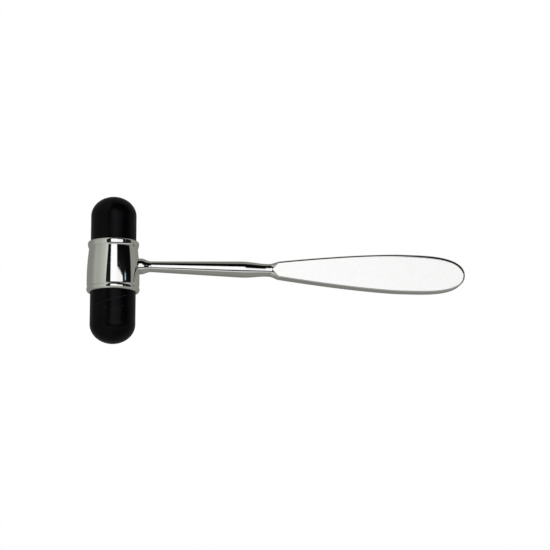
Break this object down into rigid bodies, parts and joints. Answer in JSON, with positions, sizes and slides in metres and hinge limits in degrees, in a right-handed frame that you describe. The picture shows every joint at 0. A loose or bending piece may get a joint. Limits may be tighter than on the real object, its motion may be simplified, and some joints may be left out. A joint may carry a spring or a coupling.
{
  "type": "reflex hammer",
  "caption": "Double-bumper percussion hammer: a chromed barrel sleeve holds a domed rubber bumper at each end, on a tapered stem with a flat leaf-shaped handle.",
  "frame": {"origin": "where the head's axis crosses the stem's axis, inside the metal sleeve", "axes": "+X along the stem to the handle's tip, +Y along the head to the shorter bumper, +Z square to the handle's front face"},
  "size_m": [0.2064, 0.08, 0.0284],
  "materials": {
    "chrome": "polished plating",
    "rubber": "smooth moulded, low sheen",
    "brass": "machined"
  },
  "bodies": {
    "head": {"head_sleeve": "chrome", "core_block": "brass"},
    "upper_bumper": {"upper_bumper": "rubber"},
    "lower_bumper": {"lower_bumper": "rubber"},
    "ferrule": {"neck_ferrule": "chrome"},
    "handle": {"stem": "chrome", "handle_front_shell": "chrome", "handle_back_shell": "chrome", "tang_block": "brass"}
  },
  "joints": [
    {"name": "upper_bumper_pull", "type": "slide", "parent": "head", "child": "upper_bumper", "axis": [0, 1, 0], "range_m": [0, 0.012]},
    {"name": "lower_bumper_pull", "type": "slide", "parent": "head", "child": "lower_bumper", "axis": [0, -1, 0], "range_m": [0, 0.012]},
    {"name": "ferrule_slide", "type": "slide", "parent": "head", "child": "ferrule", "axis": [1, 0, 0], "range_m": [0, 0.008]},
    {"name": "handle_unscrew", "type": "hinge", "parent": "ferrule", "child": "handle", "pos_m": [0.02, 0, 0], "axis": [1, 0, 0], "range_deg": [0, 3600]}
  ],
  "couplings": [
    {"joint": "handle_unscrew", "follows": "ferrule_slide", "rad_per_m": 7854}
  ]
}
